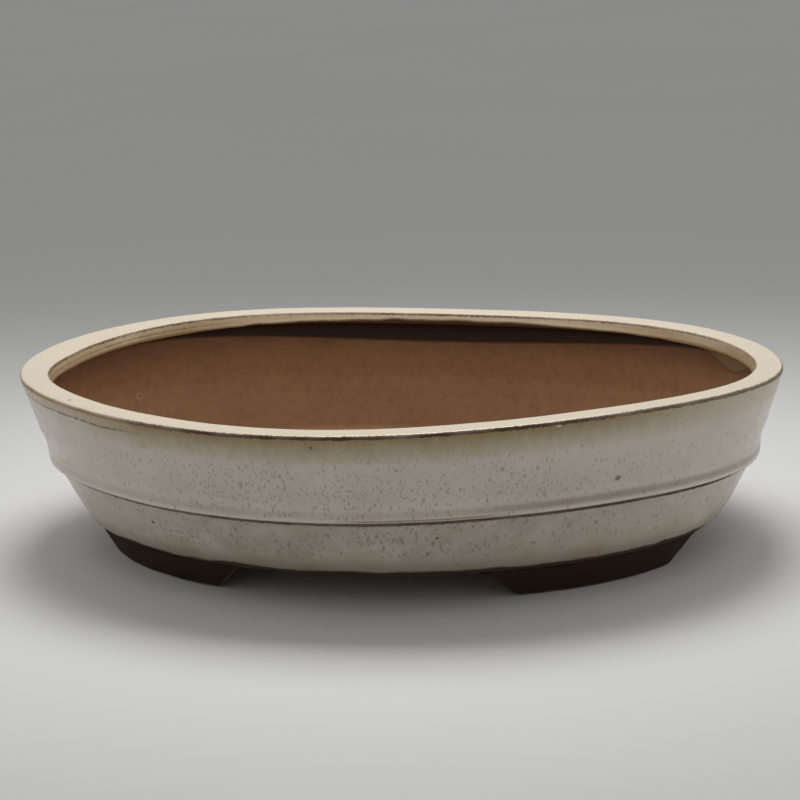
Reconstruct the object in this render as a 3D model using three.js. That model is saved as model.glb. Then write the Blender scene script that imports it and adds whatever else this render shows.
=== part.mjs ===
// An oval bonsai pot of glazed stoneware: a shallow flared bowl with a flat rim that is turned in,
// a belt moulded round its middle, and four low feet cut from one ring under the floor.
//
// The pieces are those that the potter lutes together with slip before the kiln joins them: the
// floor slab, the lower wall around it, the belt, the upper wall, the rim and the four feet.
// Each piece meets the next on a flat face, and only the floor slab, which is set into the lower
// wall, keeps a joint gap round its edge.
//
// Millimetres. The origin is on the ground under the middle of the pot, +X runs along the oval's
// length and +Z is up. Every outline is the rim's ellipse with the same amount taken off both of
// its half axes, and that amount is called the inset.

import * as THREE from 'three';

// Overall sizes.
const LENGTH = 305;
const WIDTH = 223;
const HEIGHT = 72.5;

// Heights of the stages. The upper wall takes what these leave.
const FOOT_HEIGHT = 12;
const LOWER_WALL_HEIGHT = 25.2;
const BELT_HEIGHT = 7.3;
const RIM_HEIGHT = 6;

// How far each stage moves the outside in on its way down.
const RIM_LEAN = 1.9;
const UPPER_WALL_LEAN = 6.7;
const BELT_LEAN = 0.8;
const BELT_STEP = 2.3;
const LOWER_WALL_LEAN = 12.6;
const BASE_BEVEL = 1.8;
const FOOT_LEAN = 6.7;

// Thicknesses.
const WALL_THICKNESS = 6.5;
const RIM_OVERHANG = 2.8;
const FLOOR_THICKNESS = 8;
const FLOOR_LEDGE = 5.5;
const FOOT_TOP_WIDTH = 18;
const FOOT_SOLE_WIDTH = 13;

// Rounded edges, and the cove where the wall runs into the floor.
const RIM_ROUND = 1.6;
const BELT_ROUND = 1.9;
const FLOOR_COVE = 5;

// The arches between the feet, measured at the ground, and how far each side of an arch
// comes in on its way up to the base.
const FRONT_ARCH_WIDTH = 115;
const FRONT_ARCH_SPLAY = 11.5;
const END_ARCH_WIDTH = 62;
const END_ARCH_SPLAY = 4;

// Holes through the floor: two for drainage, and a pair of tie-wire holes beside each of them.
const DRAIN_HOLE_DIAMETER = 24;
const DRAIN_HOLE_SPACING = 104;
const WIRE_HOLE_DIAMETER = 5;
const WIRE_HOLE_SPACING_X = 150;
const WIRE_HOLE_SPACING_Y = 52;

// The gap that the slip fills between the floor slab's edge and the lower wall.
const LUTE_GAP = 0.3;

// How finely curves are cut into flats.
const OVAL_STEPS = 72;
const FOOT_STEPS = 12;
const ROUND_STEPS = 3;
const HOLE_STEPS = 24;

// Levels, from the ground up.
const BEVEL_TOP = FOOT_HEIGHT + BASE_BEVEL;
const FLOOR_TOP = FOOT_HEIGHT + FLOOR_THICKNESS;
const BELT_BOTTOM = FOOT_HEIGHT + LOWER_WALL_HEIGHT;
const BELT_TOP = BELT_BOTTOM + BELT_HEIGHT;
const RIM_BOTTOM = HEIGHT - RIM_HEIGHT;

// Insets at those levels: the rim's inner edge, and the outside from the rim down.
const RIM_BOTTOM_INSET = RIM_LEAN;
const RIM_INNER_INSET = RIM_BOTTOM_INSET + WALL_THICKNESS + RIM_OVERHANG;
const BELT_TOP_INSET = RIM_BOTTOM_INSET + UPPER_WALL_LEAN;
const BELT_EDGE_INSET = BELT_TOP_INSET + BELT_LEAN;
const LOWER_WALL_TOP_INSET = BELT_EDGE_INSET + BELT_STEP;
const BEVEL_TOP_INSET = LOWER_WALL_TOP_INSET + LOWER_WALL_LEAN;
const BASE_INSET = BEVEL_TOP_INSET + BASE_BEVEL;
const SOLE_INSET = BASE_INSET + FOOT_LEAN;

// The lower wall's inside runs parallel to its outside, down to the cove at the floor.
const LOWER_WALL_SLOPE = LOWER_WALL_LEAN / (BELT_BOTTOM - BEVEL_TOP);
const COVE_TOP = FLOOR_TOP + FLOOR_COVE;
const COVE_TOP_INSET =
  LOWER_WALL_TOP_INSET + WALL_THICKNESS + LOWER_WALL_SLOPE * (BELT_BOTTOM - COVE_TOP);
const WALL_FOOT_INSET = COVE_TOP_INSET + LOWER_WALL_SLOPE * FLOOR_COVE + FLOOR_LEDGE;

/** The point at angle t of the ellipse that lies the given inset inside the rim's outline. */
function ovalPoint(inset, t) {
  return [(LENGTH / 2 - inset) * Math.cos(t), (WIDTH / 2 - inset) * Math.sin(t)];
}

/** Points of a quarter round from one [inset, height] to another, bulging towards the corner. */
function quarterRound(from, corner, to) {
  const points = [];
  for (let i = 0; i <= ROUND_STEPS; i++) {
    const angle = (i / ROUND_STEPS) * (Math.PI / 2);
    const towardsFrom = 1 - Math.sin(angle);
    const towardsTo = 1 - Math.cos(angle);
    points.push([
      corner[0] + (from[0] - corner[0]) * towardsFrom + (to[0] - corner[0]) * towardsTo,
      corner[1] + (from[1] - corner[1]) * towardsFrom + (to[1] - corner[1]) * towardsTo,
    ]);
  }
  return points;
}

/** A geometry from a list of vertices and a list of triangles. */
function solid(vertices, triangles) {
  const geometry = new THREE.BufferGeometry();
  geometry.setAttribute('position', new THREE.Float32BufferAttribute(vertices.flat(), 3));
  geometry.setIndex(triangles.flat());
  geometry.computeVertexNormals();
  return geometry;
}

/**
 * A closed ring: a profile of [inset, height] points carried round the oval. The profile runs
 * up the outside, in over the top and down the inside.
 */
function ovalRing(profile) {
  const vertices = [];
  const triangles = [];
  const count = profile.length;
  for (let i = 0; i < OVAL_STEPS; i++) {
    const t = (i / OVAL_STEPS) * 2 * Math.PI;
    const next = (i + 1) % OVAL_STEPS;
    for (let j = 0; j < count; j++) {
      const [inset, height] = profile[j];
      const up = (j + 1) % count;
      vertices.push([...ovalPoint(inset, t), height]);
      triangles.push([i * count + j, next * count + j, next * count + up]);
      triangles.push([i * count + j, next * count + up, i * count + up]);
    }
  }
  return solid(vertices, triangles);
}

/** The flat floor, an oval plate with its holes, set into the lower wall. */
function floorSlab() {
  const inset = WALL_FOOT_INSET + LUTE_GAP;
  const plate = new THREE.Shape();
  plate.absellipse(0, 0, LENGTH / 2 - inset, WIDTH / 2 - inset, 0, 2 * Math.PI);
  const outline = new THREE.Shape(plate.getSpacedPoints(OVAL_STEPS).slice(0, OVAL_STEPS));
  const hole = (x, y, diameter) => {
    const circle = [];
    for (let i = 0; i < HOLE_STEPS; i++) {
      const t = (i / HOLE_STEPS) * 2 * Math.PI;
      circle.push(new THREE.Vector2(x + (diameter / 2) * Math.cos(t), y + (diameter / 2) * Math.sin(t)));
    }
    outline.holes.push(new THREE.Path(circle));
  };
  for (const side of [-1, 1]) {
    hole((side * DRAIN_HOLE_SPACING) / 2, 0, DRAIN_HOLE_DIAMETER);
    for (const edge of [-1, 1]) {
      hole((side * WIRE_HOLE_SPACING_X) / 2, (edge * WIRE_HOLE_SPACING_Y) / 2, WIRE_HOLE_DIAMETER);
    }
  }
  const geometry = new THREE.ExtrudeGeometry(outline, { depth: FLOOR_THICKNESS, bevelEnabled: false });
  return geometry.translate(0, 0, FOOT_HEIGHT);
}

/** The flared wall between the base and the belt, with its bevelled foot and the cove inside. */
function lowerWall() {
  const coveCorner = [COVE_TOP_INSET + LOWER_WALL_SLOPE * FLOOR_COVE, FLOOR_TOP];
  return ovalRing([
    [BASE_INSET, FOOT_HEIGHT],
    [BEVEL_TOP_INSET, BEVEL_TOP],
    [LOWER_WALL_TOP_INSET, BELT_BOTTOM],
    [LOWER_WALL_TOP_INSET + WALL_THICKNESS, BELT_BOTTOM],
    ...quarterRound([COVE_TOP_INSET, COVE_TOP], coveCorner, [WALL_FOOT_INSET, FLOOR_TOP]),
    [WALL_FOOT_INSET, FOOT_HEIGHT],
  ]);
}

/** The belt, whose rounded lower edge overhangs the lower wall. */
function beltBand() {
  return ovalRing([
    [LOWER_WALL_TOP_INSET + WALL_THICKNESS, BELT_BOTTOM],
    ...quarterRound(
      [BELT_EDGE_INSET + BELT_ROUND, BELT_BOTTOM],
      [BELT_EDGE_INSET, BELT_BOTTOM],
      [BELT_EDGE_INSET, BELT_BOTTOM + BELT_ROUND],
    ),
    [BELT_TOP_INSET, BELT_TOP],
    [BELT_TOP_INSET + WALL_THICKNESS, BELT_TOP],
  ]);
}

/** The plain flared wall from the belt up to the rim. */
function upperWall() {
  return ovalRing([
    [BELT_TOP_INSET, BELT_TOP],
    [RIM_BOTTOM_INSET, RIM_BOTTOM],
    [RIM_BOTTOM_INSET + WALL_THICKNESS, RIM_BOTTOM],
    [BELT_TOP_INSET + WALL_THICKNESS, BELT_TOP],
  ]);
}

/** The rim: flat on top, rounded at its edges, and turned in past the wall that carries it. */
function rim() {
  return ovalRing([
    [RIM_BOTTOM_INSET, RIM_BOTTOM],
    ...quarterRound([0, HEIGHT - RIM_ROUND], [0, HEIGHT], [RIM_ROUND, HEIGHT]),
    ...quarterRound(
      [RIM_INNER_INSET - RIM_ROUND, HEIGHT],
      [RIM_INNER_INSET, HEIGHT],
      [RIM_INNER_INSET, HEIGHT - RIM_ROUND],
    ),
    ...quarterRound(
      [RIM_INNER_INSET, RIM_BOTTOM + RIM_ROUND],
      [RIM_INNER_INSET, RIM_BOTTOM],
      [RIM_INNER_INSET - RIM_ROUND, RIM_BOTTOM],
    ),
  ]);
}

/**
 * One foot: the stretch of a tapered ring that two arches leave standing in one quarter of the
 * oval. sideX and sideY are the signs of the quarter. Each corner of the ring's section keeps its
 * own curve, which starts on the end arch's plane and ends on the front arch's plane.
 */
function foot(sideX, sideY) {
  const section = [
    [BASE_INSET, FOOT_HEIGHT],
    [BASE_INSET + FOOT_TOP_WIDTH, FOOT_HEIGHT],
    [SOLE_INSET + FOOT_SOLE_WIDTH, 0],
    [SOLE_INSET, 0],
  ];
  const vertices = [];
  const triangles = [];
  const count = section.length;
  for (let i = 0; i <= FOOT_STEPS; i++) {
    for (let j = 0; j < count; j++) {
      const [inset, height] = section[j];
      const rise = height / FOOT_HEIGHT;
      const frontX = FRONT_ARCH_WIDTH / 2 - FRONT_ARCH_SPLAY * rise;
      const endY = END_ARCH_WIDTH / 2 - END_ARCH_SPLAY * rise;
      const first = Math.asin(endY / (WIDTH / 2 - inset));
      const last = Math.acos(frontX / (LENGTH / 2 - inset));
      const [x, y] = ovalPoint(inset, first + ((last - first) * i) / FOOT_STEPS);
      vertices.push([sideX * x, sideY * y, height]);
      if (i < FOOT_STEPS) {
        const here = i * count;
        const up = (j + 1) % count;
        triangles.push([here + j, here + count + up, here + count + j]);
        triangles.push([here + j, here + up, here + count + up]);
      }
    }
  }
  const end = FOOT_STEPS * count;
  triangles.push([0, 2, 1], [0, 3, 2], [end, end + 1, end + 2], [end, end + 2, end + 3]);
  const turned = sideX * sideY > 0;
  return solid(vertices, turned ? triangles.map(([a, b, c]) => [a, c, b]) : triangles);
}

const glaze = { color: 0x9c948a, roughness: 0.25, metalness: 0 };
const rimGlaze = { color: 0xd2c5b0, roughness: 0.28, metalness: 0 };
const clay = { color: 0x6b4a35, roughness: 0.85, metalness: 0 };
const darkClay = { color: 0x35271d, roughness: 0.8, metalness: 0 };

const pot = new THREE.Group();

/** Adds one named piece with a finish of its own. */
function addPiece(name, geometry, finish) {
  const mesh = new THREE.Mesh(geometry, new THREE.MeshStandardMaterial(finish));
  mesh.name = name;
  pot.add(mesh);
}

addPiece('floor_slab', floorSlab(), clay);
addPiece('lower_wall', lowerWall(), glaze);
addPiece('belt_band', beltBand(), glaze);
addPiece('upper_wall', upperWall(), glaze);
addPiece('rim', rim(), rimGlaze);
for (const [row, sideY] of [['front', -1], ['back', 1]]) {
  for (const [side, sideX] of [['left', -1], ['right', 1]]) {
    addPiece(`foot_${row}_${side}`, foot(sideX, sideY), darkClay);
  }
}

export default pot;
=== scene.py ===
# An oval bonsai pot of glazed stoneware on a pale studio floor. Sizes of the pot are in
# millimetres until a mesh is made, which turns them to metres; the studio's are in metres. The
# pot's outline and levels come from its pieces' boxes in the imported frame.
import math

import bmesh
import bpy
import numpy as np
from mathutils import Matrix, Vector, geometry


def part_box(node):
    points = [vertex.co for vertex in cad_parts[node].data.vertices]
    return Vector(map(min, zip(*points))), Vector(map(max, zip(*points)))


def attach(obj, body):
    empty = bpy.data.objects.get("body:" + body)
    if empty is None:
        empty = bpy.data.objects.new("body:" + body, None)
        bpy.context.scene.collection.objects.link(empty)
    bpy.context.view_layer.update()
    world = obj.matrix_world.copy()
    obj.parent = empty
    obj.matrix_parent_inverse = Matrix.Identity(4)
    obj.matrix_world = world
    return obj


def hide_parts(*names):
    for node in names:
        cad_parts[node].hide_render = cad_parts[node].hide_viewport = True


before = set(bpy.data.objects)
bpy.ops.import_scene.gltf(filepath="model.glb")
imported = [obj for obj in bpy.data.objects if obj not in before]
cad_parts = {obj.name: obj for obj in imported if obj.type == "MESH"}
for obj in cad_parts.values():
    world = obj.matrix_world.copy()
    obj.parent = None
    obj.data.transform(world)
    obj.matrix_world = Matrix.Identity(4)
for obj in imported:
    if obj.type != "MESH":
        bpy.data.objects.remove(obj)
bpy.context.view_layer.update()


# ---------------------------------------------------------------------------------------------
# Floor slab: a rolled slab of red stoneware clay, left bare. Two drainage holes are cut through
# it with a tube and four wire holes with a rod, and the cut edges are sponged round while wet.
# ---------------------------------------------------------------------------------------------

def span(node, axis):
    """Lowest and highest coordinate of a CAD node along an axis, in millimetres."""
    low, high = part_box(node)
    return low[axis] * 1000, high[axis] * 1000


half_length = span("rim", 0)[1]
half_width = span("rim", 1)[1]
rim_top = span("rim", 2)[1]
base_level = span("floor_slab", 2)[0]
floor_top = span("floor_slab", 2)[1]

# Angles of the steps round the oval that the pieces are made in, from the right-hand end.
turns = np.linspace(0, 2 * math.pi, 864, endpoint=False)


def oval(inset, t):
    """Point at angle t of the ellipse whose half axes are the rim's less the inset."""
    return (half_length - inset) * np.cos(t), (half_width - inset) * np.sin(t)


def ripple(points, size, seed):
    """A smooth field between about -1 and 1: the mean of six sines of the position along six
    random directions, with wavelengths between size and three times size, times two."""
    rng = np.random.default_rng(seed)
    directions = rng.normal(size=(6, 3))
    directions /= np.linalg.norm(directions, axis=1)[:, None]
    rates = 2 * math.pi / (size * rng.uniform(1, 3, 6))
    phases = rng.uniform(0, 2 * math.pi, 6)
    return np.sin(points @ (directions * rates[:, None]).T + phases).sum(1) / 3


# The rim's lip is widest at this angle, near the left-hand end: so much further in, and lower.
wide_at = 3.05
widening = 3.6
sag = 0.9


def fired(points):
    """Where drying and firing leave each point. The walls wave in and out by a quarter of a
    millimetre, and the middle of the floor doesn't. The rim's plane warps up and down by up to
    three, a sum of four cosines round the oval. What is below shares that by its height above
    the base to the power 0.4, and less towards the middle. Near the left-hand end the lip and
    the wall's inner face stand further in and lower, by a bell curve of t that is narrower
    towards the front. It grows from 1.5 to 6.5 mm into the wall, which flares by 0.3 of its
    height, and fades from 6 to 22 mm below the rim's top."""
    x, y, z = points.T
    t = np.arctan2(y / half_width, x / half_length)
    radius = np.hypot(x / half_length, y / half_width)
    reach = np.maximum(np.hypot(x, y), 1)
    share = np.clip((z - base_level) / (rim_top - base_level), 0, 1) ** 0.4
    share = share * np.clip(radius / 0.75, 0, 1) ** 2
    lift = (2.13 * np.cos(t - 4.09) + 1.46 * np.cos(2 * t + 0.916)
            + 0.26 * np.cos(3 * t - 3.66) + 0.74 * np.cos(4 * t - 2.92))
    out = 0.22 * ripple(points, 34, 3) + 0.08 * ripple(points, 11, 5)
    out = out * np.clip(reach / 40, 0, 1)
    depth = reach * (1 / np.maximum(radius, 0.01) - 1) - 0.3 * (rim_top - z)
    turn = np.angle(np.exp(1j * (t - wide_at)))
    bulge = np.exp(-(turn / np.where(turn < 0, 0.55, 0.35)) ** 2)
    bulge *= np.clip((depth - 1.5) / 5, 0, 1) * np.clip((z - rim_top + 22) / 16, 0, 1)
    out = out - widening * bulge
    up = lift * share - sag * bulge
    return np.stack([x + out * x / reach, y + out * y / reach, z + up], 1)


def piece(name, points, faces, fields, material):
    """A mesh object from an array of points in millimetres and a list of faces, with its fields
    as point attributes, shaded smooth except across edges sharper than 38 degrees. Points that
    coincide are merged."""
    mesh = bpy.data.meshes.new(name)
    mesh.from_pydata((fired(points) / 1000).tolist(), [], [list(face) for face in faces])
    for key, values in fields.items():
        kind = "FLOAT_VECTOR" if values.ndim == 2 else "FLOAT"
        slot = "vector" if values.ndim == 2 else "value"
        layer = mesh.attributes.new(key, kind, "POINT")
        layer.data.foreach_set(slot, np.ascontiguousarray(values, np.float32).ravel())
    soup = bmesh.new()
    soup.from_mesh(mesh)
    bmesh.ops.remove_doubles(soup, verts=soup.verts, dist=1e-6)
    soup.to_mesh(mesh)
    soup.free()
    mesh.shade_smooth()
    mesh.set_sharp_from_angle(angle=math.radians(38))
    mesh.materials.append(material)
    obj = bpy.data.objects.new(name, mesh)
    bpy.context.scene.collection.objects.link(obj)
    return obj


def linear(code):
    """Linear colour of an sRGB hex code."""
    part = np.array([int(code[i:i + 2], 16) for i in (1, 3, 5)]) / 255
    light = np.where(part <= 0.04045, part / 12.92, ((part + 0.055) / 1.055) ** 2.4)
    return (*light.tolist(), 1)


def add(tree, kind, links=None, out=0, **settings):
    """Adds a shader node with its settings and its input links or values, and returns one of
    its outputs."""
    node = tree.nodes.new("ShaderNode" + kind)
    for key, value in settings.items():
        setattr(node, key, value)
    for key, value in (links or {}).items():
        if isinstance(value, bpy.types.NodeSocket):
            tree.links.new(value, node.inputs[key])
        else:
            node.inputs[key].default_value = value
    return node.outputs[out]


def where(tree, *parts):
    """How far all the parts hold, from 0 to 1: their product. A part is an output, a number, or
    a ramp: a value, the two places between which it climbs, and its ends if not 0 and 1."""
    product = None
    for part in parts:
        if isinstance(part, tuple):
            part = add(tree, "MapRange", dict(enumerate(part)))
        if product is not None:
            part = add(tree, "Math", {0: product, 1: part}, operation="MULTIPLY")
        product = part
    return product


def coat(tree, under, shade, *parts):
    """A colour with another shade laid over it as far as all the parts hold."""
    return add(tree, "Mix", {0: where(tree, *parts), 6: under, 7: linear(shade)}, 2,
               data_type="RGBA")


# A painted highlight: the inner wall is painted paler in a belt where it catches the light,
# which fades out between these heights above it and below it.
highlight_top = 64.0, 54.0
highlight_foot = 36.0, 42.0


def clay_look(tree, place, inset, height):
    """Bare red stoneware clay, sponged and fired: matt, warm brown, with faint wipe marks that
    run round the pot, darker and lighter clouds, and fine grit. Returns colour and bump height."""
    # The sponge leaves lines about 2 mm apart, and they follow the inset and the height.
    across = add(tree, "CombineXYZ", {"X": inset, "Y": height})
    drift = add(tree, "VectorMath", {0: place, 1: (0.012, 0.012, 0.0)}, operation="MULTIPLY")
    wiping = add(tree, "VectorMath", {0: across, 1: drift}, operation="ADD")
    wipes = add(tree, "TexNoise", {"Vector": wiping, "Scale": 0.5, "Detail": 4.0})
    # Clouds of 30 mm from uneven drying, mottling of 4 mm, and grit of 0.6 mm.
    clouds = add(tree, "TexNoise", {"Vector": place, "Scale": 0.035, "Detail": 3.0})
    mottle = add(tree, "TexNoise", {"Vector": place, "Scale": 0.25, "Detail": 5.0,
                                    "Roughness": 0.7})
    grit = add(tree, "TexNoise", {"Vector": place, "Scale": 1.6, "Detail": 2.0})
    rise = add(tree, "Math", {0: wipes, 1: 5.0, 2: height}, operation="MULTIPLY_ADD")
    colour = coat(tree, linear("#7a5532"), "#845e3e", (clouds, 0.3, 0.7))
    # Painted highlight: a paler belt on the inner wall.
    colour = coat(tree, colour, "#8c6541", (rise, *highlight_top), (rise, *highlight_foot, 0.1, 0.65))
    colour = coat(tree, colour, "#8c6446", (wipes, 0.35, 0.7, 0.0, 0.2))
    colour = coat(tree, colour, "#5e3f2a", (mottle, 0.45, 0.7, 0.0, 0.35))
    colour = coat(tree, colour, "#4d3021", (grit, 0.62, 0.74, 0.0, 0.5))
    bump = add(tree, "Math", {0: wipes, 1: 0.25, 2: grit}, operation="MULTIPLY_ADD")
    return colour, bump


def ground(name):
    """A new material with its Principled shader, the place in millimetres, and the piece's
    inset, height and length along its section."""
    material = bpy.data.materials.new(name)
    material.use_nodes = True
    tree = material.node_tree
    shader = tree.nodes["Principled BSDF"]
    metres = add(tree, "TexCoord", out=3)
    place = add(tree, "VectorMath", {0: metres, "Scale": 1000.0}, operation="SCALE")
    section = add(tree, "Attribute", out=1, attribute_name="section")
    inset = add(tree, "SeparateXYZ", {0: section})
    return material, tree, shader, place, inset, inset.node.outputs[1], inset.node.outputs[2]


def bare_clay():
    """Red stoneware, unglazed: dry and matt, so rough, with an IOR of fired clay."""
    material, tree, shader, place, inset, height, _ = ground("red_stoneware_bare")
    colour, bump = clay_look(tree, place, inset, height)
    tree.links.new(colour, shader.inputs["Base Color"])
    shader.inputs["Roughness"].default_value = 0.88
    shader.inputs["IOR"].default_value = 1.5
    normal = add(tree, "Bump", {"Height": bump, "Strength": 0.5, "Distance": 0.0003})
    tree.links.new(normal, shader.inputs["Normal"])
    return material


hole_turns = np.linspace(0, 2 * math.pi, 72, endpoint=False)


def hole_wall(x, y, radius, soft, bottom, top):
    """The wall of a round hole: a quarter round, a straight bore and a quarter round again,
    turned about the hole's centre. Its points, and its faces, which look into the hole."""
    bend = np.linspace(0, math.pi / 2, 7)
    r = np.concatenate([radius + soft * (1 - np.sin(bend)),
                        radius + soft * (1 - np.sin(bend[::-1]))])
    z = np.concatenate([top - soft * (1 - np.cos(bend)),
                        bottom + soft * (1 - np.cos(bend[::-1]))])
    rows, columns = len(hole_turns), len(z)
    points = np.stack([x + np.outer(np.cos(hole_turns), r), y + np.outer(np.sin(hole_turns), r),
                       np.broadcast_to(z, (rows, columns))], 2).reshape(-1, 3)
    i, j = np.meshgrid(np.arange(rows), np.arange(columns - 1), indexing="ij")
    after = (i + 1) % rows
    faces = np.stack([i * columns + j + 1, after * columns + j + 1, after * columns + j,
                      i * columns + j], -1).reshape(-1, 4)
    return points, faces


def plate(edge, holes, bottom, top):
    """A plate with round holes. Its two faces are a fine triangulation between the outline and
    the holes, without the triangles whose middle lies in a hole. Each hole has its wall, and a
    strip joins the two faces at the outline."""
    spacing, edge_gap, hole_gap = 2.5, 2, 1.2
    outline = np.stack(oval(edge, turns), 1)
    loops = [outline]
    grid = np.arange(-half_length, half_length, spacing)
    gx, gy = (axis.ravel() for axis in np.meshgrid(grid, grid))
    reach = np.hypot(gx / (half_length - edge - edge_gap), gy / (half_width - edge - edge_gap))
    kept = reach < 1
    for x, y, radius, soft in holes:
        loops.append(np.stack([x + (radius + soft) * np.cos(hole_turns),
                               y + (radius + soft) * np.sin(hole_turns)], 1))
        kept &= np.hypot(gx - x, gy - y) > radius + soft + hole_gap
    flat = np.concatenate([*loops, np.stack([gx[kept], gy[kept]], 1)])
    edges, start = [], 0
    for loop in loops:
        ring = np.arange(start, start + len(loop))
        edges += np.stack([ring, np.roll(ring, -1)], 1).tolist()
        start += len(loop)
    verts, _, faces, _, _, _ = geometry.delaunay_2d_cdt(
        [Vector(p) for p in flat.tolist()], edges, [], 0, 1e-5)
    flat = np.array(verts)
    faces = np.array(faces)
    for x, y, radius, soft in holes:
        middle = flat[faces].mean(1)
        faces = faces[np.hypot(middle[:, 0] - x, middle[:, 1] - y) > radius + soft]
    count = len(flat)
    points = [np.column_stack([flat, np.full(count, z)]) for z in (top, bottom)]
    all_faces = [faces.tolist(), (faces[:, ::-1] + count).tolist()]
    size = 2 * count
    for hole in holes:
        wall_points, wall_faces = hole_wall(*hole, bottom, top)
        points.append(wall_points)
        all_faces.append((wall_faces + size).tolist())
        size += len(wall_points)
    ring = np.arange(len(turns))
    after = np.roll(ring, -1)
    above = len(turns)
    all_faces.append((np.stack([ring, after, after + above, ring + above], 1) + size).tolist())
    points += [np.column_stack([outline, np.full(len(turns), z)]) for z in (bottom, top)]
    return np.concatenate(points), [face for group in all_faces for face in group]


drain_spacing = 104
drain_radius, drain_round = 12, 1.3
wire_spacing = 150, 52
wire_radius, wire_round = 2.5, 0.7
# The slab is drawn this much larger than in CAD, and the wall's cove runs to its edge.
floor_growth = 0.3
floor_edge = half_length - span("floor_slab", 0)[1] - floor_growth
holes = [(side * drain_spacing / 2, 0, drain_radius, drain_round) for side in (-1, 1)]
holes += [(x * wire_spacing[0] / 2, y * wire_spacing[1] / 2, wire_radius, wire_round)
          for x in (-1, 1) for y in (-1, 1)]
points, faces = plate(floor_edge, holes, base_level, floor_top)
ring_inset = half_width * (1 - np.hypot(points[:, 0] / half_length, points[:, 1] / half_width))
clay = bare_clay()
floor_slab = piece("floor_slab_clay", points, faces,
                   {"section": np.column_stack([ring_inset, points[:, 2], ring_inset])}, clay)
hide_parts("floor_slab")
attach(floor_slab, "root")


# ---------------------------------------------------------------------------------------------
# Feet: four stretches of a strip of dark clay luted under the floor, cut on a slant at the
# arches. They stay bare, their edges are rubbed paler, and the clay fires almost chocolate.
# ---------------------------------------------------------------------------------------------

lower_top = half_length - span("lower_wall", 0)[1]
lower_lean, bevel = 12.6, 1.8
base_edge = lower_top + lower_lean + bevel
# Insets of the feet's outer face at the base and on the ground, and the breadths there.
foot_setback, foot_lean = 0.35, 6.7
foot_top_inset = base_edge + foot_setback
foot_sole_inset = base_edge + foot_lean
foot_top_width, foot_sole_width = 18, 13
# Widths of the arches on the ground. Each side closes in by its splay up to the base.
front_arch, front_splay = 115, 11.5
end_arch, end_splay = 62, 4
foot_round = 1.5
foot_fillet = 1.6


def stops(half, pitch):
    """Places from minus half to half about a pitch apart, closer over the rounding at the ends."""
    bend = np.linspace(0, foot_round, 5)
    count = max(int((2 * half - 2 * foot_round) / pitch), 2)
    flat = np.linspace(foot_round - half, half - foot_round, count)
    return np.unique(np.concatenate([bend - half, flat, half - bend]).round(6))


def foot(side_x, side_y):
    """A rounded bar bent round one quarter of the oval. A point of the box's surface is first
    pulled to the rounded box: it keeps its core, the box less the radius, and stands one radius
    off it. Then its length runs between the arches' slanted planes, its breadth from the outer
    to the inner inset, and its height from the ground to the base, with a fillet at the base.
    The box is 2 mm taller than the foot and is cut off level at the base. The edge field is 0
    on a flat face and grows over a rounding."""
    size = np.array([38.0, 7.6, base_level / 2 + 1])
    lists = [stops(size[0], 0.9), stops(size[1], 0.9), stops(size[2], 0.7)]
    points, faces, count = [], [], 0
    for axis in range(3):
        others = [a for a in range(3) if a != axis]
        first, second = np.meshgrid(lists[others[0]], lists[others[1]], indexing="ij")
        for end in (-1, 1):
            side = np.empty((*first.shape, 3))
            side[..., others[0]], side[..., others[1]] = first, second
            side[..., axis] = end * size[axis]
            rows, columns = first.shape
            i, j = np.meshgrid(np.arange(rows - 1), np.arange(columns - 1), indexing="ij")
            quads = np.stack([i * columns + j, (i + 1) * columns + j,
                              (i + 1) * columns + j + 1, i * columns + j + 1], -1)
            turned = (end > 0) == (axis == 1)
            quads = quads.reshape(-1, 4)[:, ::-1] if turned else quads.reshape(-1, 4)
            points.append(side.reshape(-1, 3))
            faces.append(quads + count)
            count += rows * columns
    box = np.concatenate(points)
    core = np.clip(box, foot_round - size, size - foot_round)
    off = box - core
    box = core + foot_round * off / np.linalg.norm(off, axis=1)[:, None]
    edge = np.sort(np.abs(off), axis=1)[:, 1] / foot_round

    along = (box[:, 0] / size[0] + 1) / 2
    breadth = (box[:, 1] / size[1] + 1) / 2
    height = np.minimum(box[:, 2] + size[2], base_level)
    rise = height / base_level
    under = np.clip((height - base_level + foot_fillet) / foot_fillet, 0, 1)
    spread = foot_fillet * (1 - np.sqrt(1 - under ** 2 * 0.98))
    outer = foot_sole_inset + (foot_top_inset - foot_sole_inset) * rise
    inner = outer + foot_sole_width + (foot_top_width - foot_sole_width) * rise
    inset = outer + (inner - outer) * breadth
    front = front_arch / 2 - front_splay * rise - spread
    end = end_arch / 2 - end_splay * rise - spread
    start = np.arcsin(end / (half_width - inset))
    stop = np.arccos(front / (half_length - inset))
    x, y = oval(inset, start + (stop - start) * along)
    points = np.column_stack([side_x * x, side_y * y, height])
    shake = 0.18 * ripple(points, 7, 21) * np.clip((base_level - height) / 2, 0, 1)
    points[:, 0] += shake
    points[:, 1] += shake
    faces = np.concatenate(faces)
    if side_x * side_y < 0:
        faces = faces[:, ::-1]
    return points, faces, {"section": np.column_stack([inset, height, along]), "edge": edge}


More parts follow.
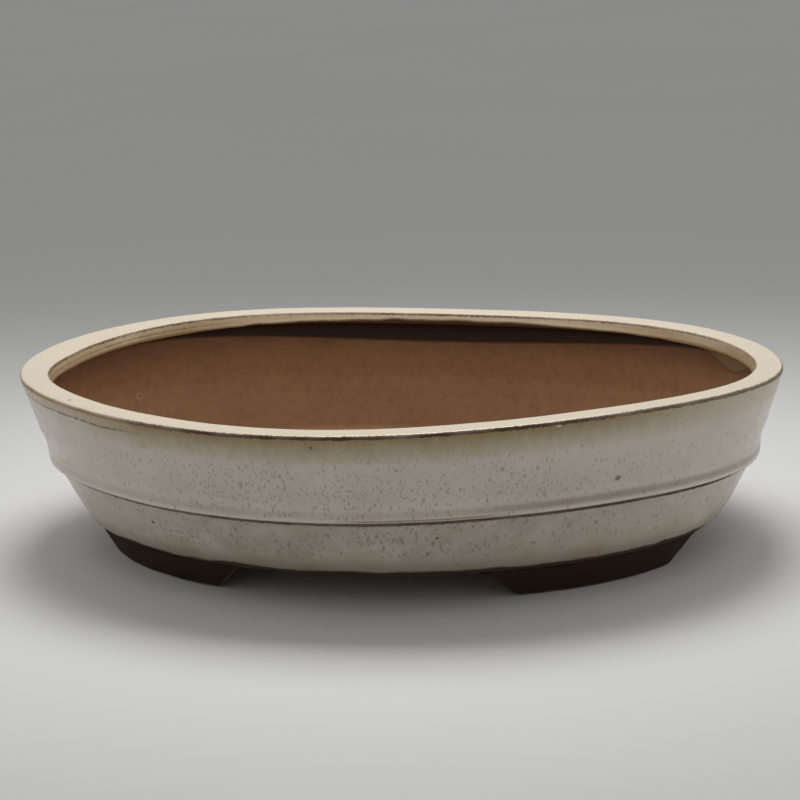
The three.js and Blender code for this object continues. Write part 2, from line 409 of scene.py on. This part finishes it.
def foot_clay():
    """The same body brushed with an iron wash: dark brown, matt, with pale scuffs on the edges
    it stands on and slides over, and paler grit of 1 mm."""
    material, tree, shader, place, *_ = ground("dark_stoneware_bare")
    clouds = add(tree, "TexNoise", {"Vector": place, "Scale": 0.09, "Detail": 4.0})
    grit = add(tree, "TexNoise", {"Vector": place, "Scale": 1.1, "Detail": 3.0})
    edge = add(tree, "Attribute", out=2, attribute_name="edge")
    colour = coat(tree, linear("#26180c"), "#3a291a", clouds)
    colour = coat(tree, colour, "#7d6046", (edge, 0.25, 0.55), (clouds, 0.4, 0.6, 0.15, 0.85))
    colour = coat(tree, colour, "#58412f", (grit, 0.62, 0.75, 0.0, 0.3))
    tree.links.new(colour, shader.inputs["Base Color"])
    shader.inputs["Roughness"].default_value = 0.92
    shader.inputs["Specular IOR Level"].default_value = 0.2
    normal = add(tree, "Bump", {"Height": grit, "Strength": 0.5, "Distance": 0.0004})
    tree.links.new(normal, shader.inputs["Normal"])
    return material


dark_clay = foot_clay()
for row, side_y in (("front", -1), ("back", 1)):
    for hand, side_x in (("left", -1), ("right", 1)):
        bar = piece(f"foot_{row}_{hand}_clay", *foot(side_x, side_y), dark_clay)
        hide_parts(f"foot_{row}_{hand}")
        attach(bar, "root")


# ---------------------------------------------------------------------------------------------
# Lower wall: the press-moulded bowl of the pot, luted round the floor slab. Glazed outside down
# to the bevel above the feet, bare inside, where it runs into the floor in a sponged cove.
# ---------------------------------------------------------------------------------------------

def rounded(corners, step=0.6):
    """A path in [inset, height] through corners of (inset, height, radius): straight lines,
    with an arc of its radius put tangentially into each inner corner, then points along it
    about a step apart."""
    plan = np.array([corner[:2] for corner in corners], float)
    pieces = [plan[:1]]
    for k in range(1, len(corners) - 1):
        before, here, after = plan[k - 1], plan[k], plan[k + 1]
        a = (before - here) / np.linalg.norm(before - here)
        b = (after - here) / np.linalg.norm(after - here)
        half = math.acos(np.clip(a @ b, -1, 1)) / 2
        radius = corners[k][2]
        centre = here + (a + b) / np.linalg.norm(a + b) * radius / math.sin(half)
        from_centre = here + a * radius / math.tan(half) - centre
        turn = math.pi - 2 * half
        turn = turn if a[0] * b[1] - a[1] * b[0] < 0 else -turn
        angles = np.linspace(0, turn, max(int(abs(turn) * radius / step), 5) + 1)
        cos, sin = np.cos(angles), np.sin(angles)
        pieces.append(centre + np.stack([from_centre[0] * cos - from_centre[1] * sin,
                                         from_centre[0] * sin + from_centre[1] * cos], 1))
    pieces.append(plan[-1:])
    path = [pieces[0]]
    for last, new in zip(pieces, pieces[1:]):
        gap = np.linalg.norm(new[0] - last[-1])
        fill = np.linspace(0, 1, max(int(gap / step), 1) + 1)[1:-1, None]
        path += [last[-1] + (new[0] - last[-1]) * fill, new]
    return np.concatenate(path)


def cut(path, low, high):
    """The part of a path that climbs or falls between two heights, ending on both of them."""
    rising = path[-1, 1] > path[0, 1]
    climb = path if rising else path[::-1]
    ends = [[np.interp(z, climb[:, 1], climb[:, 0]), z] for z in (low, high)]
    middle = climb[(climb[:, 1] > low + 0.05) & (climb[:, 1] < high - 0.05)]
    part = np.concatenate([ends[:1], middle, ends[1:]])
    return part if rising else part[::-1]


def lengths(path):
    """Length along a path at each of its points."""
    return np.concatenate([[0], np.cumsum(np.linalg.norm(np.diff(path, axis=0), axis=1))])


def outward(path):
    """Unit normals of a path that goes up the outside and down the inside."""
    ahead = np.gradient(path, axis=0)
    ahead /= np.linalg.norm(ahead, axis=1)[:, None]
    return np.stack([-ahead[:, 1], ahead[:, 0]], 1)


def wave(size, waves, seed):
    """A closed wavy line round the pot: sines of t whose height falls with their number."""
    rng = np.random.default_rng(seed)
    number = np.arange(2, waves)
    heights = rng.normal(size=len(number)) / number ** 0.7
    phases = rng.uniform(0, 2 * math.pi, len(number))
    line = (heights[:, None] * np.sin(np.outer(number, turns) + phases[:, None])).sum(0)
    return size * line / line.std()


def bell(centre, breadth):
    """A bell curve of the angle round the pot, 1 at its centre and a third a breadth away."""
    return np.exp(-(np.angle(np.exp(1j * (turns - centre))) / breadth) ** 2)


# The glaze's edge is a step of this thickness and width, with a bead this high, this far in.
glaze_thickness, glaze_step = 0.35, 0.7
bead_height, bead_at, bead_width = 0.12, 0.9, 0.7
# Distances from the glaze's edge that stand for a face that is all glazed, or all bare.
all_glaze, all_bare = 9.0, -9.0


def carried(runs):
    """Closed ring round the oval. Each run is a path in [inset, height] with the signed distance
    from the glaze's edge at each turn and point, positive under glaze, and 1 where it lies
    inside the pot. Glaze stands proud of bare clay and ends in a small rolled bead. Runs join
    into one closed section, up the outside and down the inside, and the section is carried
    through all the turns."""
    points, section, glaze, inner = [], [], [], []
    for path, cover, inside in runs:
        cover = np.broadcast_to(cover, (len(turns), len(path)))
        skin = np.clip(cover / glaze_step + 0.5, 0, 1)
        skin = skin * skin * (3 - 2 * skin)
        bead = np.exp(-((cover - bead_at) / bead_width) ** 2)
        sink = (bead_height * bead - glaze_thickness * (1 - skin))[..., None]
        moved = path + sink * outward(path)
        x, y = oval(moved[..., 0], turns[:, None])
        points.append(np.stack([x, y, moved[..., 1]], -1))
        flat = np.column_stack([path, lengths(path)])
        section.append(np.broadcast_to(flat, (len(turns), *flat.shape)))
        glaze.append(cover)
        inner.append(np.broadcast_to(inside, cover.shape))
    points = np.concatenate(points, 1)
    columns = points.shape[1]
    i, j = np.meshgrid(np.arange(len(turns)), np.arange(columns), indexing="ij")
    after, up = (i + 1) % len(turns), (j + 1) % columns
    faces = np.stack([i * columns + j, after * columns + j, after * columns + up,
                      i * columns + up], -1).reshape(-1, 4)
    fields = {"section": np.concatenate(section, 1).reshape(-1, 3),
              "glaze": np.concatenate(glaze, 1).reshape(-1),
              "inner": np.concatenate(inner, 1).reshape(-1)}
    return points.reshape(-1, 3), faces, fields


belt_bottom, belt_top = span("belt_band", 2)
rim_bottom = span("rim", 2)[0]
wall = 6.5
belt_face = half_length - span("belt_band", 0)[1]
wall_inset = half_length - span("upper_wall", 0)[1] + wall

# The inside is one smooth surface from the rim's underside down to the floor.
inside = rounded([
    (wall_inset, rim_bottom, 0),
    (belt_face + wall, belt_top, 40),
    (lower_top + wall, belt_bottom, 40),
    (lower_top + wall + 9.2, floor_top, 7),
    (floor_edge, floor_top, 0),
])
outside = rounded([
    (base_edge, base_level, 0),
    (base_edge - 2.0, base_level + 1.8, 2.5),
    (lower_top + 8.0, belt_bottom - 16.4, 40),
    (lower_top + 0.05, belt_bottom, 0.8),
    (lower_top - 0.8, belt_bottom, 0),
])

# Places of the larger spots on the glaze, with radius and colour: iron, and one pale nick.
spots = (
    ((-78.9, -77.7, 28.6), 0.9, "#3a2d20"),
    ((-46.8, -82.3, 15.1), 0.8, "#33281e"),
    ((32.7, -93.2, 30.0), 0.7, "#3a2d20"),
    ((-7.5, -110.1, 67.9), 0.7, "#4a3a29"),
    ((78.0, -95.3, 73.2), 1.0, "#d8cfbf"),
    ((-110.1, -71.3, 74.0), 0.9, "#5a4632"),
    ((96.2, -77.0, 48.6), 1.3, "#6a5e52"),
)
# Places of a crumb and a pit in the bare clay inside.
clay_marks = (
    ((-122.8, 43.5, 45.2), 2.0, "#a07a55"),
    ((-122.8, 43.5, 45.2), 0.9, "#452c1c"),
    ((-22.0, 90.2, 31.9), 0.8, "#4f3422"),
)


def glazed(name, arrises=()):
    """Cream glaze dipped over red stoneware and fired in reduction: a glassy skin, so smooth
    with the IOR of glass. It lies thick and grey-cream on the walls, runs thin and burns
    brown on every edge, turns olive where it gathers iron under the rim, and holds small grey
    flecks and a few black spots of iron that melted out of the clay. Arrises are the lengths
    along the section where it breaks over an edge, with the line's width, strength and
    colour, and the stretch of x that it fades in over."""
    material, tree, shader, place, inset, height, along = ground(name)
    cover = add(tree, "Attribute", out=2, attribute_name="glaze")
    inner = add(tree, "Attribute", out=2, attribute_name="inner")
    outer = add(tree, "Math", {0: 1.0, 1: inner}, operation="SUBTRACT")
    x = add(tree, "SeparateXYZ", {0: place})
    y = x.node.outputs[1]

    def band(bottom, top, soft=0.6):
        """1 between two heights, fading to 0 over a soft stretch past each."""
        return where(tree, (height, bottom - soft, bottom), (height, top + soft, top))

    def spotted(under, marks, strength):
        """A colour with marks of place, radius and shade on it, which have ragged borders."""
        for mark, radius, shade in marks:
            away = add(tree, "VectorMath", {0: place, 1: mark}, 1, operation="DISTANCE")
            away = add(tree, "Math", {0: ragged, 1: radius, 2: away}, operation="MULTIPLY_ADD")
            under = coat(tree, under, shade, (away, radius * 1.6, radius * 1.1), strength)
        return under

    # Glaze tone: clouds of 25 mm between cream and a cooler grey cream.
    clouds = add(tree, "TexNoise", {"Vector": place, "Scale": 0.04, "Detail": 4.0})
    skin = coat(tree, linear("#c3b9ac"), "#cec4b6", (clouds, 0.3, 0.7))

    # The rim's top is a warmer cream. The lip below its inner arris is thinner, so tan, and
    # what ran past the lip on to the inner wall is thinner still.
    lip = where(tree, inner, (height, rim_top - 0.9, rim_top - 1.7))
    spilt = where(tree, inner, (height, rim_bottom + 0.4, rim_bottom - 0.1))
    across = where(tree, x, x)
    skin = coat(tree, skin, "#cbbfa9", (height, rim_top - 1.6, rim_top - 0.4))
    skin = coat(tree, skin, "#d9c8a6", lip, 0.9)
    skin = coat(tree, skin, "#b09873", lip, (across, 3000.0, 11000.0, 0.0, 0.85))
    skin = coat(tree, skin, "#7a5c2c", spilt, (height, rim_bottom - 8.0, rim_bottom, 1.0, 0.75))

    # Ragged borders, patches of 20 mm, fine grain, mottling of 9 mm, and streaks that running
    # glaze draws down the wall.
    ragged = add(tree, "TexNoise", {"Vector": place, "Scale": 0.7, "Detail": 5.0,
                                    "Roughness": 0.65})
    patchy = add(tree, "TexNoise", {"Vector": place, "Scale": 0.05, "Detail": 3.0})
    grain = add(tree, "TexNoise", {"Vector": place, "Scale": 0.9, "Detail": 2.0})
    mottle = add(tree, "TexNoise", {"Vector": place, "Scale": 0.11, "Detail": 5.0})
    tall = add(tree, "VectorMath", {0: place, 1: (1.0, 1.0, 0.2)}, operation="MULTIPLY")
    streaks = add(tree, "TexNoise", {"Vector": tall, "Scale": 0.35, "Detail": 4.0})

    # Olive under the rim, gone after about 12 mm, with streaky ends. It is strong along the
    # front and weak round the ends. Greener specks lie in its lower part.
    fade = add(tree, "Math", {0: streaks, 1: 4.5, 2: height}, operation="MULTIPLY_ADD")
    skin = coat(tree, skin, "#8f7a45", (fade, rim_top - 9.8, rim_top + 0.2, 0.0, 0.95),
                (height, rim_top - 0.6, rim_top - 1.8), outer,
                (x, -110.0, -75.0, 0.15), (x, 135.0, 90.0, 0.4))
    skin = coat(tree, skin, "#a39552", band(rim_top - 9.5, rim_top - 5.5, 2.0),
                (grain, 0.5, 0.62), (patchy, 0.4, 0.55), outer, 0.4)

    # Round the left end a tan band lies under the rim instead, with a thin line at its foot.
    left = where(tree, (x, -72.0, -92.0), outer)
    foot_line = add(tree, "Math", {0: patchy, 1: 1.5, 2: height}, operation="MULTIPLY_ADD")
    skin = coat(tree, skin, "#b49c79", left, (foot_line, rim_top - 4.8, rim_top - 4.0),
                (height, rim_top - 0.7, rim_top - 1.2), (ragged, 0.25, 0.5, 0.6), 0.75)
    skin = coat(tree, skin, "#4c3a24", left, (foot_line, rim_top - 5.1, rim_top - 4.8),
                (foot_line, rim_top - 4.0, rim_top - 4.3), (ragged, 0.35, 0.5))

    # Painted shade darkens the belt's hollow, and a painted highlight lightens the glaze just
    # above the belt's rounded edge. There is an olive seep for 5 cm along the front, and in the
    # sharp corner under the belt a dark line of pooled glaze and painted shade.
    skin = coat(tree, skin, "#857a6a", band(belt_bottom + 2.6, belt_bottom + 3.8, 1.4), outer,
                (x, 30.0, 75.0, 0.4), (patchy, 0.3, 0.6, 0.8), 0.65)
    # Painted highlight just above the belt's rounded edge.
    skin = coat(tree, skin, "#d6ccbb", band(belt_bottom + 0.7, belt_bottom + 1.5, 0.4), outer,
                0.35)
    skin = coat(tree, skin, "#6f6236", band(belt_bottom + 0.9, belt_bottom + 1.2, 0.4), outer,
                (x, -5.0, 8.0), (x, 62.0, 50.0), 0.7)
    # Dark line in the corner under the belt: pooled glaze and painted shade.
    pool_and_shade_height = add(tree, "Math", {0: ragged, 1: 1.2, 2: height}, operation="MULTIPLY_ADD")
    pool_and_shade = where(tree, (pool_and_shade_height, belt_bottom - 1.4, belt_bottom - 1.0),
                 (height, belt_bottom + 0.5, belt_bottom + 0.2), outer, (patchy, 0.3, 0.5, 0.8))
    skin = coat(tree, skin, "#3b2310", pool_and_shade)

    # Under the belt the glaze is a shade browner, and mottled, with olive clouds near the foot.
    skin = coat(tree, skin, "#99907c", (height, belt_bottom + 0.2, belt_bottom - 1.0), outer,
                (x, -130.0, -50.0), (x, 120.0, 60.0), (mottle, 0.3, 0.65, 0.1, 0.5))
    skin = coat(tree, skin, "#a39668", (height, base_level + 15.0, base_level + 5.0),
                (patchy, 0.45, 0.6), outer, 0.45)

    # Near the foot of the glaze it turns darker and browner.
    darker_foot = add(tree, "Math", {0: mottle, 1: 6.0, 2: height}, operation="MULTIPLY_ADD")
    skin = coat(tree, skin, "#6a5c48",
                (darker_foot, base_level + 11.0, base_level + 5.0, 0.0, 0.55), outer)

    # Grey-brown flecks, about a millimetre across and twice as tall: the cells of a stretched
    # pattern, one fleck in each chosen cell. Fine ones crowd low on the upper wall, and coarser
    # ones lie under the belt. Each row gives the cells to a millimetre, the fleck's radius as a
    # share of a cell, the share of cells that hold one, where they lie, strength and colour.
    bent = add(tree, "VectorMath", {0: place, 1: (1.0, 1.0, 0.5)}, operation="MULTIPLY")
    crowds = add(tree, "TexNoise", {"Vector": place, "Scale": 0.045, "Detail": 2.0})
    groups = add(tree, "TexNoise", {"Vector": place, "Scale": 0.06, "Detail": 2.0})
    above = where(tree, band(belt_bottom + 6, belt_bottom + 19, 8.0), outer,
                  (x, -105.0, -50.0, 0.15), (x, 110.0, 50.0, 0.25), (crowds, 0.3, 0.6, 0.25))
    below = where(tree, band(base_level + 10, belt_bottom - 2, 3.0), outer,
                  (x, -100.0, -50.0, 0.2), (x, 105.0, 45.0, 0.25), (groups, 0.35, 0.6, 0.2))
    for scale, size, share, region, strength, shade in (
            (0.95, 0.36, 0.75, above, 0.38, "#85776a"),
            (0.66, 0.30, 0.7, above, 0.45, "#7b6e61"),
            (0.62, 0.36, 0.95, below, 0.4, "#7f7262"),
            (0.40, 0.30, 0.5, below, 0.45, "#75685a")):
        cell = add(tree, "TexVoronoi", {"Vector": bent, "Scale": scale})
        pick = add(tree, "SeparateXYZ", {0: cell.node.outputs["Color"]})
        chosen = add(tree, "Math", {0: pick, 1: where(tree, region, share)},
                     operation="LESS_THAN")
        shape = add(tree, "Math", {0: ragged, 1: 0.3, 2: cell}, operation="MULTIPLY_ADD")
        skin = coat(tree, skin, shade, (shape, size + 0.2, size + 0.06), chosen, strength)

    # Iron spots about a millimetre across, in one of fourteen cells of 9 mm, and a few larger.
    cell = add(tree, "TexVoronoi", {"Vector": place, "Scale": 0.11})
    pick = add(tree, "SeparateXYZ", {0: cell.node.outputs["Color"]})
    chosen = add(tree, "Math", {0: pick, 1: 0.93}, operation="GREATER_THAN")
    skin = coat(tree, skin, "#2a221b", (cell, 0.065, 0.045), chosen, 0.8)
    skin = spotted(skin, spots, 0.85)

    # Lines where it breaks over an arris, with ragged borders, a little weaker to the right.
    dry = pool_and_shade
    for start, half, strength, shade, fades in arrises:
        off = add(tree, "Math", {0: along, 1: start}, operation="SUBTRACT")
        off = add(tree, "Math", {0: off}, operation="ABSOLUTE")
        off = add(tree, "Math", {0: ragged, 1: 1.6, 2: off}, operation="MULTIPLY_ADD")
        line = where(tree, (off, half + 1.05, half + 0.65),
                     (patchy, 0.3, 0.55, 0.7), (x, *fades), (x, 60.0, 135.0, 1.0, 0.85))
        skin = coat(tree, skin, shade, line, strength)
        dry = add(tree, "Math", {0: dry, 1: line}, operation="MAXIMUM")
    dry = add(tree, "Math", {0: dry, 1: spilt}, operation="MAXIMUM")

    # Past the glaze is bare clay. It is burnt dark round the base. At the back only, a painted
    # shadow darkens the corner under the lip, in a band that narrows towards the ends.
    clay, grit = clay_look(tree, place, inset, height)
    clay = coat(tree, clay, "#3d2a1a", (height, base_level + 3.2, base_level + 2.4), outer)
    # Painted shadow under the lip at the back, narrower towards the ends.
    lip_shadow_narrowing = where(tree, across, 0.00045)
    lip_shadow_edge = add(tree, "Math", {0: ragged, 1: 0.8, 2: height}, operation="MULTIPLY_ADD")
    lip_shadow_edge = add(tree, "Math", {0: lip_shadow_edge, 1: lip_shadow_narrowing}, operation="SUBTRACT")
    clay = coat(tree, clay, "#28140b", (lip_shadow_edge, rim_bottom - 7.7, rim_bottom - 6.5), inner,
                (y, -10.0, 15.0), (height, rim_bottom + 1.0, rim_bottom + 0.2, 0.6), 0.93)
    clay = spotted(clay, clay_marks, 0.6)

    # The edge of the glaze is a thin brown line.
    edge = add(tree, "Math", {0: ragged, 1: 0.9, 2: cover}, operation="MULTIPLY_ADD")
    skin = coat(tree, skin, "#5f4630", (edge, 1.6, 0.7), 0.8)
    under = where(tree, (edge, 0.35, 0.5))
    colour = add(tree, "Mix", {0: under, 6: clay, 7: skin}, 2, data_type="RGBA")
    tree.links.new(colour, shader.inputs["Base Color"])

    # Glassy on the glaze, satin where it is thin and dry, and matt on the clay.
    gloss = where(tree, (clouds, 0.3, 0.7, 0.24, 0.34))
    gloss = add(tree, "Mix", {0: dry, 2: gloss, 3: 0.7})
    rough = add(tree, "Mix", {0: under, 2: 0.88, 3: gloss})
    tree.links.new(rough, shader.inputs["Roughness"])
    shader.inputs["IOR"].default_value = 1.52

    # The glaze's skin is faintly dimpled, the clay is gritty.
    dimple = add(tree, "TexNoise", {"Vector": place, "Scale": 0.45, "Detail": 2.0})
    relief = add(tree, "Mix", {0: under, 2: grit, 3: where(tree, dimple, 0.6)})
    normal = add(tree, "Bump", {"Height": relief, "Strength": 0.4, "Distance": 0.0003})
    tree.links.new(normal, shader.inputs["Normal"])
    return material


glaze_foot = base_level + 1.9 + wave(0.3, 90, 31)
wall_glaze = glazed("cream_glaze_on_stoneware")
cove = inside[inside[:, 1] > floor_top + 0.01]
lower_inside = np.concatenate([cut(cove, floor_top + 0.02, belt_bottom),
                               [[floor_edge, floor_top]]])
points, faces, fields = carried([
    (outside, outside[:, 1] - glaze_foot[:, None], 0),
    (lower_inside, all_bare, 1),
    (np.array([[floor_edge, floor_top], [floor_edge, base_level]]), all_bare, 0),
])
lower_wall = piece("lower_wall_glazed", points, faces, fields, wall_glaze)
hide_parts("lower_wall")
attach(lower_wall, "root")


# ---------------------------------------------------------------------------------------------
# Belt: a band of the same clay moulded on the wall. It stands nearly upright, overhangs the
# lower wall by about 2 mm, and its edge is rounded with a wet finger before glazing.
# ---------------------------------------------------------------------------------------------

# The outside is one smooth surface from the belt's underside to the rim's top. It is hollow
# above the belt, and it leans straight out from there.
flank = rounded([
    (lower_top - 0.8, belt_bottom, 0),
    (belt_face + 0.8, belt_bottom, 0.8),
    (belt_face + 0.1, belt_top + 0.6, 6),
    (6.45, rim_top - 21.5, 60),
    (0.0, rim_top, 0),
])
underside = flank[flank[:, 1] < belt_bottom + 0.001]
climb = flank[len(underside) - 1:]
points, faces, fields = carried([
    (np.concatenate([underside[:-1], cut(climb, belt_bottom, belt_top)]), all_glaze, 0),
    (cut(inside, belt_bottom, belt_top), all_bare, 1),
])
belt = piece("belt_band_glazed", points, faces, fields, wall_glaze)
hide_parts("belt_band")
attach(belt, "root")


# ---------------------------------------------------------------------------------------------
# Upper wall: the plain flared band between the belt and the rim, glazed outside. Inside it is
# bare, but for one run of glaze under the rim at the right-hand end, 6 mm long.
# ---------------------------------------------------------------------------------------------

upper_inside = cut(inside, belt_top, rim_bottom)
run_length, past_rim = 7.5, 1.5
spill = run_length * bell(0.42, 0.16) - past_rim + wave(0.3, 120, 37)
points, faces, fields = carried([
    (cut(climb, belt_top, rim_bottom), all_glaze, 0),
    (upper_inside, spill[:, None] - lengths(upper_inside), 1),
])
upper_wall = piece("upper_wall_glazed", points, faces, fields, wall_glaze)
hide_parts("upper_wall")
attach(upper_wall, "root")


# ---------------------------------------------------------------------------------------------
# Rim: a flat strip that caps the wall and is turned in past it. Its glaze is wiped back to an
# uneven line on the inner lip, higher at the back, and breaks brown over both arrises.
# ---------------------------------------------------------------------------------------------

overhang = 2.8
lip_lean = 1.1
inner = wall_inset + overhang
shoulder = np.interp(rim_bottom, climb[:, 1], climb[:, 0])
cap = rounded([
    (shoulder, rim_bottom, 0),
    (0.0, rim_top, 1.3),
    (inner, rim_top - 0.5, 1.1),
    (inner + lip_lean, rim_bottom, 1.5),
    (wall_inset, rim_bottom, 0),
], 0.45)
run = lengths(cap)
outer_arris = run[np.argmin(np.hypot(cap[:, 0] - 0.35, cap[:, 1] - rim_top + 0.45))]
inner_arris = run[np.argmin(np.hypot(cap[:, 0] - inner + 0.3, cap[:, 1] - rim_top + 0.8))]
wiped = inner_arris + 6.0 - 2.6 * bell(1.55, 0.6) + wave(0.25, 90, 41)
rim_glaze = glazed("cream_rim_glaze_on_stoneware", [
    (outer_arris - 0.1, 0.7, 1.0, "#4a2907", (-98.0, -72.0, 0.0, 1.0)),
    (outer_arris - 0.1, 0.6, 0.85, "#866534", (-80.0, -100.0)),
    (inner_arris + 0.2, 0.6, 0.95, "#5a3a10", (-200.0, -190.0)),
    (inner_arris + 2.8, 0.2, 0.7, "#6a4b2c", (-70.0, -105.0)),
])
points, faces, fields = carried([(cap, wiped[:, None] - run, cap[:, 0] > inner / 2)])
rim = piece("rim_glazed", points, faces, fields, rim_glaze)
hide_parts("rim")
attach(rim, "root")


# ---------------------------------------------------------------------------------------------
# Studio, in metres: a pale matt floor, one wide soft light overhead and a little behind, two
# soft lights at the sides, and a camera on a long lens a little above the rim.
# ---------------------------------------------------------------------------------------------

def studio_floor():
    """Painted board: pale grey, matt."""
    material = bpy.data.materials.new("pale_painted_board")
    material.use_nodes = True
    tree = material.node_tree
    shader = tree.nodes["Principled BSDF"]
    metres = add(tree, "TexCoord", out=3)
    mottle = add(tree, "TexNoise", {"Vector": metres, "Scale": 3.0, "Detail": 2.0})
    colour = coat(tree, linear("#c9c9c8"), "#cdcdcc", mottle)
    tree.links.new(colour, shader.inputs["Base Color"])
    shader.inputs["Roughness"].default_value = 0.9
    return material


board = bpy.data.meshes.new("studio_floor")
board.from_pydata([(-6, -6, 0), (6, -6, 0), (6, 6, 0), (-6, 6, 0)], [], [(0, 1, 2, 3)])
board.materials.append(studio_floor())
floor = bpy.data.objects.new("studio_floor", board)
bpy.context.scene.collection.objects.link(floor)


def softbox(name, place, target, size, power):
    """A rectangular area light at a place, turned to a target. Its power is in watts."""
    lamp = bpy.data.lights.new(name, "AREA")
    lamp.shape = "RECTANGLE"
    lamp.size, lamp.size_y = size
    lamp.energy = power
    obj = bpy.data.objects.new(name, lamp)
    obj.location = place
    obj.rotation_euler = (Vector(target) - Vector(place)).to_track_quat("-Z", "Y").to_euler()
    bpy.context.scene.collection.objects.link(obj)
    return obj


overhead = softbox("overhead", (0, 0.12, 0.6), (0, -0.02, 0), (0.4, 0.3), 0.8)
overhead.data.spread = math.radians(80)
softbox("left_side", (-0.6, 0.1, 0.2), (0, 0, 0.05), (0.25, 0.25), 0.44)
softbox("right_side", (0.6, 0.1, 0.2), (0, 0, 0.05), (0.25, 0.25), 0.40)

world = bpy.data.worlds.new("studio_air")
world.use_nodes = True
world.node_tree.nodes["Background"].inputs["Color"].default_value = linear("#c4c4c4")
world.node_tree.nodes["Background"].inputs["Strength"].default_value = 0.74
bpy.context.scene.world = world
bpy.context.scene.view_settings.view_transform = "Standard"

# The camera looks from a place on a sphere round the middle of the rim, and its aim is then
# rolled and turned a little off that middle.
distance = 0.835
azimuth, elevation = math.radians(12.23), math.radians(13.59)
roll, pan, tilt = math.radians(-2.64), math.radians(-0.147), math.radians(-1.09)
rim_centre = Vector((0, 0, rim_top / 1000))
back = Vector((math.sin(azimuth) * math.cos(elevation),
               -math.cos(azimuth) * math.cos(elevation), math.sin(elevation)))
camera = bpy.data.objects.new("camera", bpy.data.cameras.new("camera"))
camera.data.lens = 94.4
camera.data.clip_start = 0.05
camera.location = rim_centre + back * distance
aim = (Matrix.Rotation(azimuth, 4, "Z") @ Matrix.Rotation(math.pi / 2 - elevation, 4, "X")
       @ Matrix.Rotation(roll, 4, "Z") @ Matrix.Rotation(pan, 4, "Y")
       @ Matrix.Rotation(tilt, 4, "X"))
camera.rotation_euler = aim.to_euler()
bpy.context.scene.collection.objects.link(camera)
bpy.context.scene.camera = camera

bpy.context.view_layer.update()
